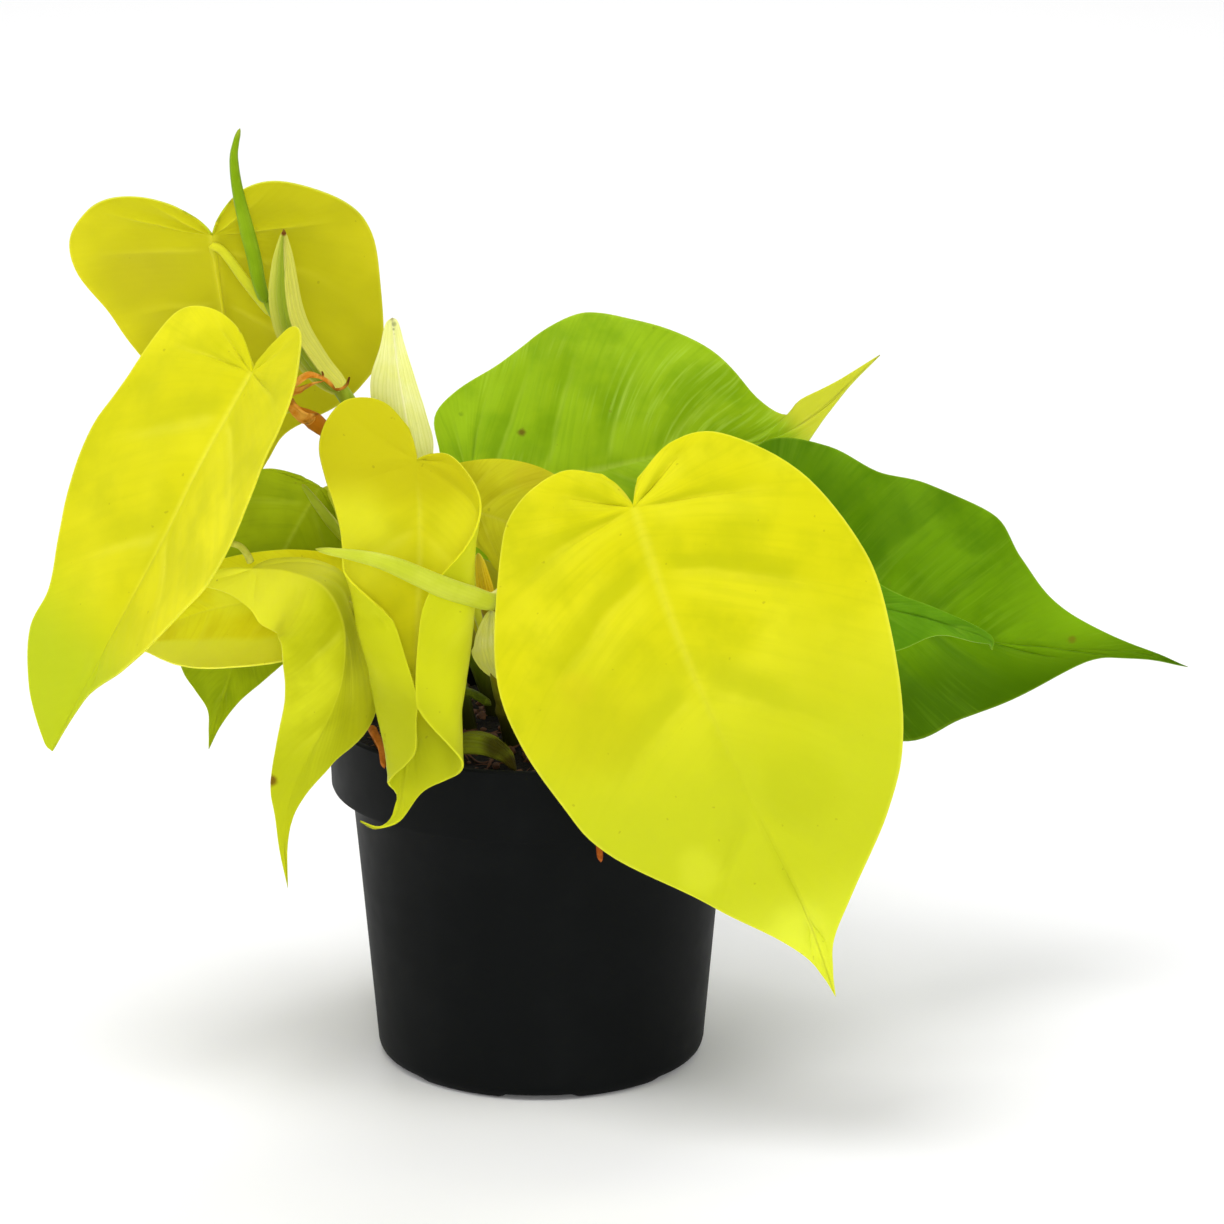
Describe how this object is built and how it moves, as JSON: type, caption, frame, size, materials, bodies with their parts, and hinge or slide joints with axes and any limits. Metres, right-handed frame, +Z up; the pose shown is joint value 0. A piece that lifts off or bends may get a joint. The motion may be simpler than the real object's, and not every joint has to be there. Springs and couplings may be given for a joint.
{
  "type": "potted foliage plant",
  "caption": "Lime heart-leaved philodendron growing from peat in a black round nursery pot, with rolled young leaves and pale bracts.",
  "frame": {"origin": "middle of the pot's underside, on the surface that the pot stands on", "axes": "+Z up; -Y towards the viewer of the picture; +X to the viewer's right, the plant's longest extent"},
  "size_m": [0.2997, 0.1794, 0.2457],
  "materials": {
    "pot_plastic": "black moulded plastic, satin",
    "peat": "dark fibrous peat, rough",
    "lime_leaf": "lime yellow leaf, soft sheen",
    "lime_leaf_shaded": "ochre lime leaf, soft sheen",
    "green_leaf": "yellow-green leaf, soft sheen",
    "deep_green_leaf": "deep green leaf, soft sheen",
    "olive_leaf": "olive green leaf, soft sheen",
    "green_stem": "smooth green stem",
    "pale_bract": "cream papery bract with fine lines",
    "amber_sheath": "amber dried sheath edge",
    "dried_brown": "orange-brown dried sheath and roots"
  },
  "bodies": {
    "root": {"pot": "pot_plastic", "soil": "peat", "leaf_front": "lime_leaf", "leaf_folded": "lime_leaf", "leaf_drooping": "lime_leaf", "leaf_long": "lime_leaf", "leaf_rear": "lime_leaf", "leaf_rear_low": "lime_leaf", "leaf_high": "lime_leaf_shaded", "leaf_sideways": "lime_leaf_shaded", "leaf_olive": "lime_leaf_shaded", "leaf_back": "green_leaf", "leaf_tucked": "green_leaf", "leaf_soil": "green_leaf", "spear_top": "green_leaf", "leaf_right": "deep_green_leaf", "leaf_green": "olive_leaf", "stem_tall": "green_stem", "stem_left": "green_stem", "stem_middle": "green_stem", "stem_bract": "green_stem", "stem_low": "green_stem", "stem_rear": "green_stem", "stem_rear_low": "green_stem", "spear_side": "green_stem", "spear_small": "green_stem", "shoot_hook": "green_stem", "shoot_stub": "green_stem", "bract_red": "green_stem", "bract_white": "pale_bract", "bract_pale": "pale_bract", "sheath_amber": "amber_sheath", "sheath_dried": "dried_brown", "root_left": "dried_brown", "root_front": "dried_brown"}
  },
  "joints": []
}
